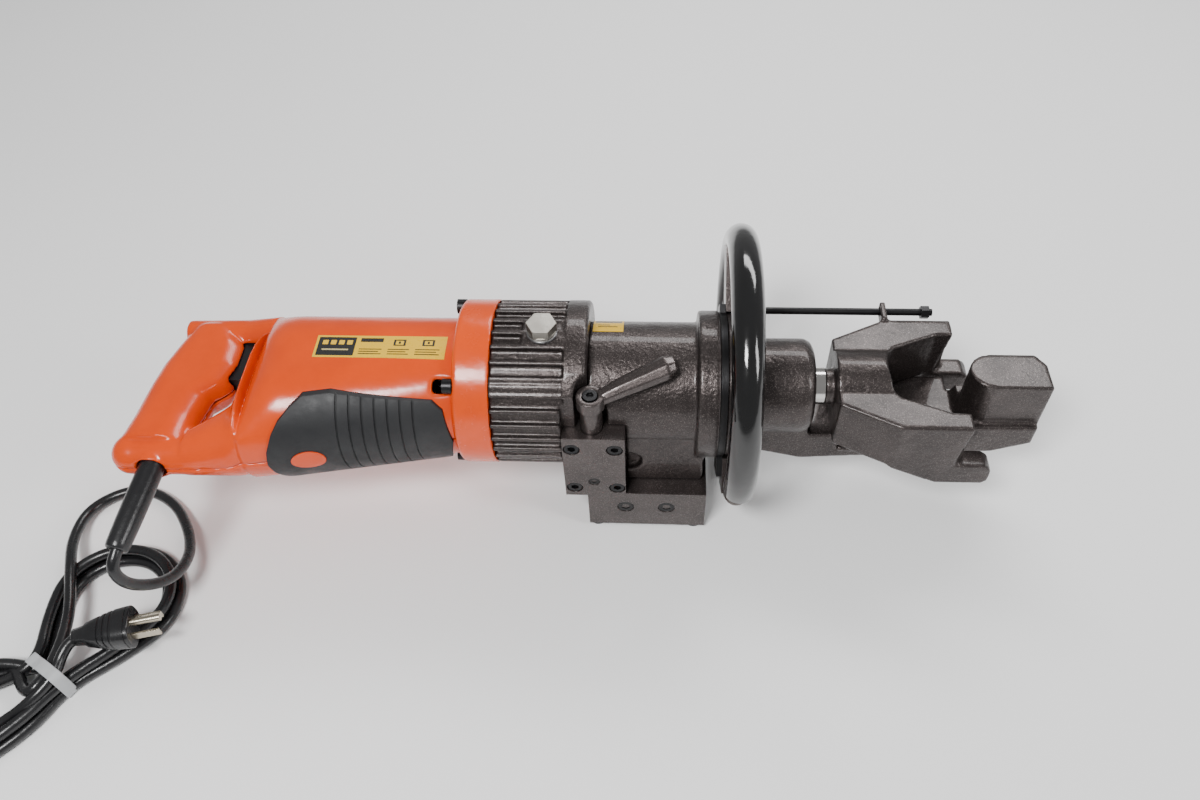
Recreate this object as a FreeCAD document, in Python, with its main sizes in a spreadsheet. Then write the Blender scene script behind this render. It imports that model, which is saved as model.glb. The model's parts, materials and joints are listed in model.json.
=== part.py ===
"""Portable electro-hydraulic rebar bender, in millimetres.

Frame: +X from the D-handle towards the bending head, +Z up, +Y towards the back of the D-handle's grip.
The tool rests on the feet of its hydraulic block and on its ring handle, at Z = 0.
Every helper below takes places measured from the ram's axis and adds where that axis lies in this frame.
"""

import FreeCAD, Part
import math
import os
import re

import Sketcher
from FreeCAD import Placement, Rotation, Vector

doc = FreeCAD.newDocument("RebarBender")

# ---------------------------------------------------------------- driving dimensions

DIMENSIONS = [
    # where the ram's axis lies in the part's frame
    ("place_x", 55.4),
    ("place_y", -15.5),
    ("place_z", 97.4),
    # motor housing with its D-handle
    ("barrel_rear", -271.4),
    ("barrel_front", -135.5),
    ("barrel_radius", 42.6),
    ("barrel_drop_rear", 33),
    ("barrel_drop_front", 8.5),
    ("wall", 3),
    ("grip_half", 17),
    ("bar_y", -67.5),
    ("bar_radius", 13),
    ("bar_end", -346.8),
    ("gland_x", -330.8),
    ("gland_y", -80),
    ("grip_skin", 1.8),
    # front flange and gear housing
    ("flange_front", -112),
    ("flange_radius", 55.5),
    ("fin_root", 51),
    ("fin_width", 3),
    ("fin_count", 32),
    ("gear_flange_rear", -64.6),
    ("gear_front", -50),
    ("screw_circle", 50.4),
    ("shaft_drop", 22.5),
    ("eccentricity", 2.5),
    # cylinder, head frame and ram
    ("cyl_radius", 41.5),
    ("cyl_front", 21),
    ("cyl_flange_radius", 49.4),
    ("cyl_flange_front", 35.2),
    ("bore_radius", 30),
    ("plate_front", 39.5),
    ("frame_flange_front", 47.5),
    ("frame_flange_radius", 47.5),
    ("nose_radius", 31.5),
    ("nose_front", 97.8),
    ("spring_bore", 21),
    ("gland_rear", 80),
    ("gland_radius", 17.5),
    ("rod_radius", 12.5),
    ("rod_tip_radius", 10),
    ("piston_rear", -12),
    ("piston_front", 4),
    ("running", 0.05),
    ("block_rear", 112.5),
    ("block_half", 47.5),
    ("block_top", 15.4),
    ("block_bottom", -43),
    ("wing_tip", 194.5),
    ("tab_tip", 215.6),
    ("rail_half", 19.5),
    ("guide_half", 33),
    ("guide_top", -26),
    ("guide_bottom", -30),
    ("post_rear", 199),
    ("post_front", 249.5),
    ("post_half", 14.7),
    ("post_top", 17.5),
    # hydraulic block
    ("hyd_front", -53),
    ("hyd_top", -56),
    ("hyd_bottom", -94),
    ("hyd_left", -52),
    ("hyd_right", 29.6),
    ("column_left", -67),
    ("column_right", -25.6),
    ("column_back", -32),
    ("column_top", 5),
    ("column_bottom", -58.7),
    ("floor_z", -97.4),
    # ring handle
    ("ring_x", 49),
    ("ring_y", 15.5),
    ("ring_radius", 87),
    ("ring_core", 7.5),
    ("ring_skin", 10.3),
    ("limit_y", 57),
    ("limit_z", 13),
    ("limit_radius", 2.5),
    # release lever
    ("lever_x", -47.3),
    ("lever_y", -42),
    ("lever_turn", 20),
    # cord
    ("cord_radius", 3.8),
    ("hank_height", 16),
]

SHEET = doc.addObject("Spreadsheet::Sheet", "Dim")
for row, (alias, value) in enumerate(DIMENSIONS, start=1):
    SHEET.set("A%d" % row, alias)
    SHEET.set("B%d" % row, str(value))
    SHEET.setAlias("B%d" % row, alias)
doc.recompute()
NAMES = {alias for alias, _ in DIMENSIONS}
SUB_PARTS = []


def size(alias):
    """One driving dimension, as the sheet holds it."""
    return float(SHEET.get(alias))


def expr(text):
    """An expression in which every driving dimension is read from the sheet."""
    return re.sub(r"[a-z][a-z_]+",
                  lambda m: "Dim." + m.group() if m.group() in NAMES else m.group(), str(text))


def number(text):
    """The value of an expression, for a starting value that the sheet then drives."""
    return plain_value(str(text))


def plain_value(text):
    """Sums and products of driving dimensions, worked out term by term."""
    total = 0.0
    for sign, term in re.findall(r"([+-]?)\s*([^+\-\s][^+\-]*)", text.replace(" ", "")):
        product = 1.0
        for factor in term.split("*"):
            product *= size(factor) if factor in NAMES else float(factor)
        total += -product if sign == "-" else product
    return total


# ---------------------------------------------------------------- building helpers

TURN = {
    "X": Rotation(Vector(1, 1, 1), 120),
    "Y": Rotation(Vector(1, 1, 1), 240),
    "Z": Rotation(),
}
FROM_AXIS = ("place_x", "place_y", "place_z")


def place(obj, where, rotation=None):
    """Put an object at a point measured from the ram's axis, each coordinate bound to the sheet."""
    obj.Placement = Placement(Vector(), rotation or Rotation())
    for key, shift, value in zip("xyz", FROM_AXIS, where):
        obj.setExpression("Placement.Base." + key, expr("%s + (%s)" % (shift, value)))
    return obj


def placed_shape(name, shape):
    """A shape built by Part's own functions about the ram's axis, then placed like the rest."""
    obj = doc.addObject("Part::Feature", name)
    obj.Shape = shape
    obj.Placement = Placement(Vector(*[size(shift) for shift in FROM_AXIS]), Rotation()) * shape.Placement
    return obj


def box(name, xs, ys, zs):
    """A block between two places along each axis."""
    obj = doc.addObject("Part::Box", name)
    for prop, (low, high) in zip(("Length", "Width", "Height"), (xs, ys, zs)):
        obj.setExpression(prop, expr("(%s) - (%s)" % (high, low)))
    return place(obj, (xs[0], ys[0], zs[0]))


def rod(name, along, start, end, radius, across=(0, 0)):
    """A round bar along one axis; across is its place on the other two, in X, Y, Z order."""
    obj = doc.addObject("Part::Cylinder", name)
    obj.setExpression("Radius", expr(radius))
    obj.setExpression("Height", expr("(%s) - (%s)" % (end, start)))
    where = list(across)
    where.insert("XYZ".index(along), start)
    return place(obj, where, TURN[along])


def fuse(name, shapes):
    obj = doc.addObject("Part::MultiFuse", name)
    obj.Shapes = shapes
    obj.Refine = True
    return obj


def group(name, solids):
    """Identical pieces that stay separate solids of one node."""
    obj = doc.addObject("Part::Compound", name)
    obj.Links = solids
    return obj


def cut(name, base, tools):
    obj = doc.addObject("Part::Cut", name)
    obj.Base = base
    obj.Tool = tools[0] if len(tools) == 1 else fuse(name + "_tools", tools)
    obj.Refine = True
    return obj


def common(name, base, tool):
    obj = doc.addObject("Part::MultiCommon", name)
    obj.Shapes = [base, tool]
    return obj


def sub_part(label, obj):
    """Give a finished piece the label that names its file."""
    obj.Label = label
    SUB_PARTS.append(obj)
    return obj


def body_of(name):
    body = doc.addObject("PartDesign::Body", name)
    return place(body, (0, 0, 0))


def sketch_on(body, role, offset="0"):
    """A sketch on one of the body's own origin planes, at an offset along that plane's normal."""
    sketch = body.newObject("Sketcher::SketchObject", body.Name + "_sketch")
    plane = [f for f in body.Origin.OriginFeatures if f.Role == role][0]
    sketch.AttachmentSupport = (plane, [""])
    sketch.MapMode = "FlatFace"
    sketch.setExpression("AttachmentOffset.Base.z", expr(offset))
    return sketch


def fix_point(sketch, edge, end, where):
    """Bind one point of a sketch to its two places, measured from the sketch's origin."""
    for kind, value in zip(("DistanceX", "DistanceY"), where):
        index = sketch.addConstraint(Sketcher.Constraint(kind, -1, 1, edge, end, number(value)))
        sketch.setExpression("Constraints[%d]" % index, expr(value))


def draw_polygon(sketch, points):
    corners = [Vector(number(u), number(v), 0) for u, v in points]
    count = len(corners)
    for i in range(count):
        sketch.addGeometry(Part.LineSegment(corners[i], corners[(i + 1) % count]), False)
    for i in range(count):
        sketch.addConstraint(Sketcher.Constraint("Coincident", i, 2, (i + 1) % count, 1))
    for i, where in enumerate(points):
        fix_point(sketch, i, 1, where)


def draw_circle(sketch, centre, radius):
    middle = Vector(number(centre[0]), number(centre[1]), 0)
    edge = sketch.addGeometry(Part.Circle(middle, Vector(0, 0, 1), number(radius)), False)
    fix_point(sketch, edge, 3, centre)
    index = sketch.addConstraint(Sketcher.Constraint("Radius", edge, number(radius)))
    sketch.setExpression("Constraints[%d]" % index, expr(radius))


def draw_slot(sketch, first, last, radius):
    """A slot whose two round ends have their centres at first and last, first being the higher."""
    (u1, v1), (u2, v2) = [(number(u), number(v)) for u, v in (first, last)]
    r = number(radius)
    lean = math.atan2(v2 - v1, u2 - u1) + math.pi / 2
    ends = []
    for (u, v), low in (((u1, v1), lean), ((u2, v2), lean + math.pi)):
        circle = Part.Circle(Vector(u, v, 0), Vector(0, 0, 1), r)
        ends.append(sketch.addGeometry(Part.ArcOfCircle(circle, low, low + math.pi), False))
    side = Vector(math.cos(lean), math.sin(lean), 0) * r
    a, b = Vector(u1, v1, 0), Vector(u2, v2, 0)
    one = sketch.addGeometry(Part.LineSegment(a - side, b - side), False)
    two = sketch.addGeometry(Part.LineSegment(b + side, a + side), False)
    for line, start, end in ((one, ends[0], ends[1]), (two, ends[1], ends[0])):
        sketch.addConstraint(Sketcher.Constraint("Tangent", start, 2, line, 1))
        sketch.addConstraint(Sketcher.Constraint("Tangent", line, 2, end, 1))
    fix_point(sketch, ends[0], 3, first)
    fix_point(sketch, ends[1], 3, last)
    index = sketch.addConstraint(Sketcher.Constraint("Radius", ends[0], r))
    sketch.setExpression("Constraints[%d]" % index, expr(radius))


def turned(name, points):
    """A body of revolution about the ram's axis: points are places along X and radii."""
    body = body_of(name)
    sketch = sketch_on(body, "XY_Plane")
    draw_polygon(sketch, points)
    feature = body.newObject("PartDesign::Revolution", name + "_turn")
    feature.Profile = sketch
    feature.ReferenceAxis = (sketch, ["H_Axis"])
    feature.Angle = 360
    return body


def prism(name, role, points, low, high):
    """A polygon on an origin plane, padded from low to high along the plane's normal."""
    body = body_of(name)
    sketch = sketch_on(body, role, low)
    draw_polygon(sketch, points)
    pad = body.newObject("PartDesign::Pad", name + "_pad")
    pad.Profile = sketch
    pad.setExpression("Length", expr("(%s) - (%s)" % (high, low)))
    return body


def slot_loft(name, role, sections):
    """A loft through slots: each section is its offset, the two centres and the radius."""
    body = body_of(name)
    sketches = []
    for offset, first, last, radius in sections:
        sketch = sketch_on(body, role, offset)
        draw_slot(sketch, first, last, radius)
        sketches.append(sketch)
    loft = body.newObject("PartDesign::AdditiveLoft", name + "_loft")
    loft.Profile = sketches[0]
    loft.Sections = sketches[1:]
    loft.Ruled = True
    return body


def ring_of(name, count, first_angle, radius, maker, centre=(0, 0)):
    """Several equal pieces round an axis parallel to X; maker gets a name, a Y and a Z."""
    pieces = []
    for i in range(count):
        angle = math.radians(first_angle + 360.0 * i / count)
        y = "%s + (%s) * %.6f" % (centre[0], radius, math.cos(angle))
        z = "%s + (%s) * %.6f" % (centre[1], radius, math.sin(angle))
        pieces.append(maker("%s_%d" % (name, i), y, z))
    return pieces


def hex_prism(name, along, start, end, across_flats, across=(0, 0)):
    """A hexagonal bar, given by the distance across its flats."""
    obj = doc.addObject("Part::Prism", name)
    obj.Polygon = 6
    obj.setExpression("Circumradius", expr("(%s) / 1.7320508" % across_flats))
    obj.setExpression("Height", expr("(%s) - (%s)" % (end, start)))
    where = list(across)
    where.insert("XYZ".index(along), start)
    return place(obj, where, TURN[along])


def socket_screw(name, along, seat, head_end, tip, head, shank, key, across):
    """A socket-head screw: seat is the plane under the head, tip the shank's far end."""
    low, high = sorted((float(seat), float(head_end)))
    outward = 1 if float(head_end) > float(seat) else -1
    head_bar = rod(name + "_head", along, low, high, head, across)
    shank_low, shank_high = sorted((float(seat), float(tip)))
    shank_bar = rod(name + "_shank", along, shank_low, shank_high, shank, across)
    depth = 0.55 * (high - low)
    key_low = high - depth if outward > 0 else low
    hole = hex_prism(name + "_key", along, key_low, key_low + depth, key, across)
    return cut(name, fuse(name + "_whole", [head_bar, shank_bar]), [hole])


def coil_spring(along, start, end, radius, wire, turns, across=(0, 0)):
    """The closed solid of a round-wire coil spring."""
    helix = Part.makeHelix((end - start - 2 * wire) / turns, end - start - 2 * wire, radius)
    section = Part.Wire(Part.makeCircle(wire, Vector(radius, 0, 0), Vector(0, 1, 0)))
    solid = Part.Wire(helix.Edges).makePipeShell([section], True, True)
    where = list(across)
    where.insert("XYZ".index(along), start + wire)
    solid.Placement = Placement(Vector(*where), TURN[along])
    return solid


# ---------------------------------------------------------------- the screws that hold the castings together

BLOCK_SCREW_PLACES = [(-60.7, -6.5), (-32.4, -6.5), (-60.5, -49.5), (-31.4, -49.5)]


def screw_groups():
    """Front flange screws, valve column screws and head frame screws: their holes are cut with them."""
    def flange_screw(name, y, z):
        return socket_screw(name, "X", -135.3, -141.5, -95, 5, 3, 4.3, (y, z))

    def head_screw(name, y, z):
        return socket_screw(name, "X", 47.5, 55.5, 28, 7.4, 4.9, 7, (y, z))

    four = ring_of("flange_screw", 4, 45, "screw_circle", flange_screw)
    sub_part("flange_screws", group("flange_screw_group", four))
    four = ring_of("head_screw", 4, 45, 39.7, head_screw)
    sub_part("head_screws", group("head_screw_group", four))
    column_screws = [socket_screw("block_screw_%d" % i, "Y", -49, -52.6, -22, 4.9, 2.9, 4.8, where)
                     for i, where in enumerate(BLOCK_SCREW_PLACES)]
    sub_part("block_screws", group("block_screw_group", column_screws))


# ---------------------------------------------------------------- motor housing

def barrel(name, offset, rear, front):
    """The motor barrel: a round shell that deepens towards the D-handle on its under side."""
    span = size("barrel_front") - size("barrel_rear")
    slope = (size("barrel_drop_front") - size("barrel_drop_rear")) / span
    radius = "barrel_radius + %s" % offset
    sections = []
    for station in (rear, front):
        drop = size("barrel_drop_rear") + slope * (station - size("barrel_rear"))
        sections.append((str(station), ("0", "0"), (str(-drop), "0"), radius))
    return slot_loft(name, "YZ_Plane", sections)


def tail(name):
    """The fairing from the barrel's rear down to the lower bar of the D-handle."""
    stations = [
        (-271.4, 0, -32, 41),
        (-277, -40, -49, 28),
        (-281.2, -52.5, -54.5, 24),
        (-288, -56.4, -57.6, 21.5),
        (-298.4, -60.8, -61.6, 18.2),
        (-309.8, -64.8, -65.6, 15),
    ]
    sections = [(str(x), (str(top), "0"), (str(low), "0"), str(r)) for x, top, low, r in stations]
    return slot_loft(name, "YZ_Plane", sections)


def top_bar(name):
    """The upper bar of the D-handle, flatter where it runs into the barrel."""
    stations = [(-267.2, 31, 14, 10), (-295.3, 34, 5, 11.5), (-323.3, 35.5, 4, 10.5), (-340, 37, 5, 8.5)]
    sections = [(str(x), (str(y), str(half)), (str(y), str(-half)), str(r)) for x, y, half, r in stations]
    return slot_loft(name, "YZ_Plane", sections)


GRIP_LEVELS = [
    (41, -335, -311),
    (35, -338, -300),
    (19, -343.5, -291.1),
    (1, -348.7, -291.1),
    (-16, -351.3, -296.3),
    (-24.5, -352.1, -305.7),
    (-43.5, -353.7, -309),
    (-65, -357, -309.8),
]


def hand_grip(name, inset, levels):
    """The grip: slots lying across its length, from the top bar down to the lower bar."""
    half = size("grip_half") - inset
    sections = []
    for y, rear, front in levels:
        r = min(half, (front - rear - 2 * inset) / 2 - 1)
        sections.append((str(-y), (str(rear + inset + r), "0"), (str(front - inset - r), "0"), str(r)))
    return slot_loft(name, "XZ_Plane", sections)


def housing_shell():
    """Both halves of the motor housing as one hollow shell."""
    bar_end = doc.addObject("Part::Sphere", "bar_end_ball")
    bar_end.setExpression("Radius", expr("bar_radius + 0.5"))
    place(bar_end, ("bar_end", "bar_y", 0))
    outer = fuse("housing_outer", [
        barrel("barrel_outer", 0, size("barrel_rear"), size("barrel_front")),
        tail("tail_outer"),
        top_bar("top_bar_outer"),
        hand_grip("grip_outer", 0, GRIP_LEVELS),
        rod("lower_bar", "X", "bar_end", -300.5, "bar_radius", ("bar_y", 0)),
        bar_end,
        rod("gland_boss", "Y", "gland_y", "bar_y", 11, ("gland_x", 0)),
    ])
    return cut("housing_hollow", outer, [
        barrel("barrel_inner", "0 - wall", -267.2, -134.5),
        hand_grip("grip_inner", 3, GRIP_LEVELS[2:7]),
        rod("bar_passage", "X", -346.2, -278, 7, ("bar_y", 0)),
        rod("barrel_passage", "X", -286, -262, 8, (-58, 0)),
        box("trigger_pocket", (-323.2, -271.4), (-10.3, 32.8), (-8.3, 8.3)),
        rod("gland_bore", "Y", "gland_y - 1", "bar_y", 9.2, ("gland_x", 0)),
    ])


def housing_screws():
    """Screws that close the two halves from below."""
    places = [(-150, 36), (-258.9, 34), (-150, -40), (-329.6, 36), (-337.9, -38), (-306.7, -67.5)]
    screws, wells = [], []
    for i, (x, y) in enumerate(places):
        low = -9 if i >= 3 else -20
        screws.append(socket_screw("housing_screw_%d" % i, "Z", low + 3, low, 6, 3.4, 1.8, 2.6, (x, y)))
        wells.append(rod("housing_screw_well_%d" % i, "Z", -60, low + 3, 3.6, (x, y)))
    return group("housing_screw_group", screws), wells


def motor_housing():
    shell = housing_shell()
    screws, wells = housing_screws()
    seat = rod("rear_seat_boss", "X", -268.2, -263, 15)
    reliefs = ring_of("screw_relief", 4, 45, "screw_circle",
                      lambda n, y, z: rod(n, "X", -148, -134.5, 5.6, (y, z)))
    whole = cut("housing_whole", fuse("housing_with_seat", [shell, seat]),
                [rod("rear_seat_bore", "X", -271.4, -262, 11)] + reliefs)
    for half, zs in (("upper", (0, 60)), ("lower", (-60, 0))):
        keep = box("keep_" + half, (-360, -130), (-100, 80), zs)
        piece = common("housing_" + half, whole, keep)
        sub_part("motor_housing_" + half, cut("housing_drilled_" + half, piece, [screws] + wells))
    sub_part("housing_screws", screws)


def soft_grip():
    """The ribbed rubber skin round the under side of the barrel, and the oval inlay in it."""
    outer = barrel("grip_skin_outer", "grip_skin", -258, -135.8)
    outline = [
        (-255.5, 0), (-253.7, 10.8), (-249.2, 21.9), (-244.7, 28.5), (-237.2, 34.5), (-229.5, 38.3),
        (-212, 38.3), (-148.5, 29.5), (-142, 24),
    ]
    corners = outline + [(-137.5, 0)] + [(x, -z) for x, z in reversed(outline[1:])]
    area = prism("grip_area", "XZ_Plane", [(str(x), str(z)) for x, z in corners], "20", "80")
    core = barrel("grip_core", 0, -260, -134)
    skin = cut("grip_skin_cut", common("grip_skin_area", outer, area), [core])
    grooves = []
    for i in range(7):
        x = -208.7 + 7.95 * i
        band = barrel("groove_outer_%d" % i, "grip_skin + 1", x, x + 1)
        inner = barrel("groove_inner_%d" % i, "grip_skin - 0.7", x - 1, x + 2)
        grooves.append(cut("groove_%d" % i, band, [inner]))
    oval_tool = placed_ellipse("oval_area", -229.5, 0, 11, 8)
    ribbed = cut("soft_grip_ribbed", skin, grooves + [oval_tool])
    sub_part("soft_grip", ribbed)
    inlay = common("grip_inlay_area", cut("inlay_skin", barrel("inlay_outer", "grip_skin + 0.6", -244, -215),
                                          [barrel("inlay_core", 0, -245, -214)]), oval_tool)
    sub_part("grip_inlay", inlay)


def placed_ellipse(name, x, z, half_x, half_z):
    """An elliptical bar along Y, on the under side of the barrel."""
    curve = Part.Ellipse(Vector(x, -90, z), half_x, half_z)
    curve.Axis = Vector(0, 1, 0)
    curve.XAxis = Vector(1, 0, 0)
    face = Part.Face(Part.Wire(curve.toShape()))
    return placed_shape(name, face.extrude(Vector(0, 60, 0)))


# ---------------------------------------------------------------- electric motor

def armature():
    """Everything that spins on the motor shaft."""
    journal = "6 - running"
    sub_part("motor_shaft", turned("motor_shaft_body", [
        ("-270.8", "0"), ("-83", "0"), ("-83", "3"), ("-122", "3"), ("-122", journal),
        ("-263.6", journal), ("-263.6", "4 - running"), ("-270.8", "4 - running"),
    ]))
    core = rod("core_stack", "X", -240.2, -177.8, 21)
    slots = ring_of("core_slot", 12, 0, 19.2, lambda n, y, z: rod(n, "X", -241.2, -176.8, 1.6, (y, z)))
    core_bore = rod("core_bore", "X", -241.2, -176.8, journal)
    sub_part("armature_core", cut("armature_core_cut", core, slots + [core_bore]))
    bars = rod("commutator_drum", "X", -263, -248.5, 12)
    gaps = ring_of("bar_gap", 12, 15, 12, lambda n, y, z: rod(n, "X", -264.1, -247.5, 0.35, (y, z)))
    drum_bore = rod("drum_bore", "X", -264.1, -247.5, journal)
    sub_part("commutator", cut("commutator_cut", bars, gaps + [drum_bore]))
    disc = rod("fan_disc", "X", -165.3, -163.3, 34)
    blades = ring_of("fan_blade", 14, 0, 24, lambda n, y, z: rod(n, "X", -163.3, -152.9, 3.2, (y, z)))
    hub = rod("fan_hub", "X", -165.3, -152.9, 11)
    fan_bore = rod("fan_bore", "X", -166.4, -151.8, journal)
    sub_part("cooling_fan", cut("cooling_fan_cut", fuse("fan_whole", [disc, hub] + blades), [fan_bore]))


def gear_shape(teeth, module, low, high, bore, turn):
    """A spur gear about an axis parallel to X, with straight-flanked stub teeth and working backlash."""
    pitch_radius = module * teeth / 2.0
    tip, root = pitch_radius + 0.8 * module, pitch_radius - 1.05 * module
    pitch_angle = 2 * math.pi / teeth
    root_half, tip_half = 0.29 * pitch_angle, 0.13 * pitch_angle
    points = []
    for i in range(teeth):
        middle = turn + i * pitch_angle
        for radius, angle in ((root, -root_half), (tip, -tip_half), (tip, tip_half), (root, root_half)):
            points.append(Vector(low, radius * math.cos(middle + angle), radius * math.sin(middle + angle)))
    face = Part.Face(Part.makePolygon(points + points[:1]))
    hole = Part.makeCylinder(bore, high - low, Vector(low, 0, 0), Vector(1, 0, 0))
    return face.extrude(Vector(high - low, 0, 0)).cut(hole)


PINION_TEETH = 10
GEAR_TEETH = 35


def gear_train():
    """The pinion on the motor shaft and the wheel below it that turns the eccentric."""
    down = -math.pi / 2
    pinion = gear_shape(PINION_TEETH, 1.0, -96, -84, 3, down)
    sub_part("motor_pinion", placed_shape("motor_pinion_shape", pinion))
    half_tooth = math.pi / GEAR_TEETH
    wheel = gear_shape(GEAR_TEETH, 1.0, -95, -85, 6, -down + half_tooth)
    wheel.translate(Vector(0, 0, -size("shaft_drop")))
    sub_part("drive_gear", placed_shape("drive_gear_shape", wheel))
    centre = (0, "0 - shaft_drop")
    offset = (0, "0 - shaft_drop - eccentricity")
    journal = "6 - running"
    sub_part("eccentric_shaft", fuse("eccentric_shaft_whole", [
        rod("shaft_tail", "X", -118.6, -111.3, "4 - running", centre),
        rod("shaft_main", "X", -111.3, -49.5, journal, centre),
        rod("eccentric_web", "X", -49.5, -47, 8, centre),
        rod("eccentric_journal", "X", -47, -33, 7, offset),
    ]))
    outer = rod("roller_outer", "X", -46, -34, 12, offset)
    sub_part("eccentric_roller", cut("roller_cut", outer, [rod("roller_bore", "X", -47, -33, 7, offset)]))


def bearing(name, low, high, outer, inner, across):
    """A ball bearing's two rings and shield, with the groove between them on its rear face."""
    ring = rod(name + "_ring", "X", low, high, outer, across)
    hole = rod(name + "_hole", "X", low - 1, high + 1, inner, across)
    groove_outer = rod(name + "_groove_outer", "X", low - 0.5, low + 0.8, outer * 0.82, across)
    groove_inner = rod(name + "_groove_inner", "X", low - 1, low + 1.8, outer * 0.7, across)
    groove = cut(name + "_groove", groove_outer, [groove_inner])
    return cut(name + "_cut", ring, [hole, groove])


def motor_fixed_parts():
    """The parts of the motor that stand still, and the switch in the grip."""
    stack = rod("stator_stack", "X", -240.2, -177.8, "barrel_radius - wall")
    hollow = rod("stator_hollow", "X", -241.2, -176.8, 21.8)
    windows = [box("field_window_%d" % i, (-241.2, -176.8), (low, low + 9), (-14, 14))
               for i, low in enumerate((20, -29))]
    sub_part("stator", cut("stator_cut", stack, [hollow] + windows))
    holders, carbons = [], []
    for i, (low, high) in enumerate(((12.6, 30), (-30, -12.6))):
        block = box("holder_block_%d" % i, (-261, -250.6), (-5, 5), (low, high))
        slide = box("holder_slide_%d" % i, (-258.9, -252.7), (-3, 3), (low, high))
        holders.append(cut("holder_%d" % i, block, [slide]))
        inner = (low, 24) if low > 0 else (-24, high)
        carbons.append(box("carbon_%d" % i, (-258.9, -252.7), (-3, 3), inner))
    sub_part("brush_holders", group("brush_holder_pair", holders))
    sub_part("carbon_brushes", group("carbon_brush_pair", carbons))
    below = (0, "0 - shaft_drop")
    sub_part("small_bearings", group("small_bearing_pair", [
        bearing("motor_rear_bearing", -271.4, -264.1, 11, 4, (0, 0)),
        bearing("shaft_rear_bearing", -119, -112, 11, 4, below),
    ]))
    sub_part("large_bearings", group("large_bearing_pair", [
        bearing("motor_front_bearing", -132, -124, 14, 6, (0, 0)),
        bearing("shaft_front_bearing", -62, -54, 14, 6, below),
    ]))
    sub_part("switch_body", box("switch_block", (-337, -323.4), (-20, 18), (-8, 8)))


def trigger():
    """The trigger slides into the grip against its spring; two lips keep the finger on it."""
    outline = [
        (-316.1, 31.5), (-279.7, 31.5), (-277.6, 27), (-284.9, 21), (-288.5, 14), (-287, 7), (-282.3, 2),
        (-283.8, -5), (-291.1, -9.5), (-308.8, -9.5), (-308.8, 6), (-316.1, 8),
    ]
    shape = prism("trigger_body", "XY_Plane", [(str(x), str(y)) for x, y in outline], "-7.9", "7.9")
    sub_part("trigger", shape)


# ---------------------------------------------------------------- flange and gear housing

PLUG_PLACE = (-79, -5.6)


def gear_end():
    """The front flange, the finned gear housing and what is fastened in them."""
    screws = doc.getObject("flange_screw_group")
    notch = [
        box("column_room", ("column_left", -49), (-60, "column_back"), (-60, "column_top")),
        box("lever_room", ("column_left", -49), (-60, "lever_y - 1"), (0, 60)),
        lever_pocket("flange_lever_pocket"),
    ]
    motor_bore = turned("motor_bore", [
        ("-136.6", "0"), ("-111", "0"), ("-111", "8"), ("-124", "8"), ("-124", "14"), ("-132", "14"),
        ("-132", "16"), ("-136.6", "16"),
    ])
    rear_seat = rod("shaft_rear_seat", "X", -119, -111, 11, (0, "0 - shaft_drop"))
    disc = turned("front_flange_disc", [
        ("barrel_front", "0"), ("flange_front", "0"), ("flange_front", "flange_radius"),
        ("barrel_front + 2", "flange_radius"), ("barrel_front", "flange_radius - 2"),
    ])
    sub_part("front_flange", cut("front_flange_cut", disc, [motor_bore, rear_seat, screws]))

    shell = turned("gear_shell", [
        ("flange_front", "45"), ("-69", "45"), ("-69", "0"), ("gear_front", "0"),
        ("gear_front", "flange_radius - 1.5"), ("gear_front - 1.5", "flange_radius"),
        ("gear_flange_rear", "flange_radius"), ("gear_flange_rear", "fin_root"),
        ("flange_front", "fin_root"),
    ])
    fins = []
    for i in range(int(size("fin_count"))):
        fin = doc.addObject("Part::Box", "fin_%d" % i)
        fin.setExpression("Length", expr("gear_flange_rear - (flange_front)"))
        fin.setExpression("Width", expr("flange_radius - fin_root + 1.6"))
        fin.setExpression("Height", expr("fin_width"))
        angle = math.radians(360.0 * (i + 0.5) / size("fin_count"))
        low = size("fin_root") - 2
        half = size("fin_width") / 2
        y = low * math.cos(angle) + half * math.sin(angle)
        z = low * math.sin(angle) - half * math.cos(angle)
        place(fin, ("flange_front", y, z), Rotation(Vector(1, 0, 0), math.degrees(angle)))
        fins.append(fin)
    ribs = ring_of("screw_rib", 4, 45, "screw_circle - 1",
                   lambda n, y, z: rod(n, "X", "flange_front", "gear_flange_rear", 5.8, (y, z)))
    pad = box("plug_pad", (-92, -64), (-16, 5), (40, 54.5))
    pad_inside = rod("pad_inside", "X", -113, -69, 45)
    filled = fuse("gear_whole", [shell] + fins + [cut("ribs_cut", fuse("ribs", ribs + [pad]), [pad_inside])])
    envelope = rod("gear_envelope", "X", "flange_front", "gear_front", "flange_radius")
    trimmed = common("gear_trimmed", filled, envelope)
    plug = oil_plug()
    spot_face = rod("plug_spot_face", "Z", 54.5, 60, 10.4, PLUG_PLACE)
    sub_part("gear_housing", cut("gear_housing_cut", trimmed, [
        screws, plug, spot_face, doc.getObject("block_screw_group"), *notch,
        rod("shaft_way", "X", -70, -49, 9, (0, "0 - shaft_drop")),
        rod("shaft_front_seat", "X", -70, -54, 14, (0, "0 - shaft_drop")),
    ]))


def lever_pocket(name):
    """Room for the release lever's hub above the valve column."""
    return rod(name, "Z", "column_top", 60, 10.6, ("lever_x", "lever_y"))


def oil_plug():
    """The hex oil plug on its soft washer, on top of the gear housing."""
    across = PLUG_PLACE
    head = hex_prism("plug_head", "Z", 56.3, 63.5, 17, across)
    rim = rod("plug_rim", "Z", 55.8, 57.5, 9.2, across)
    shank = rod("plug_shank", "Z", 46, 56, 6, across)
    plug = sub_part("filler_plug", fuse("filler_plug_whole", [head, rim, shank]))
    ring = rod("washer_ring", "Z", 54.5, 55.8, 9.8, across)
    sub_part("plug_washer", cut("plug_washer_cut", ring, [rod("washer_hole", "Z", 54, 56, 6, across)]))
    return plug


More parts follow.
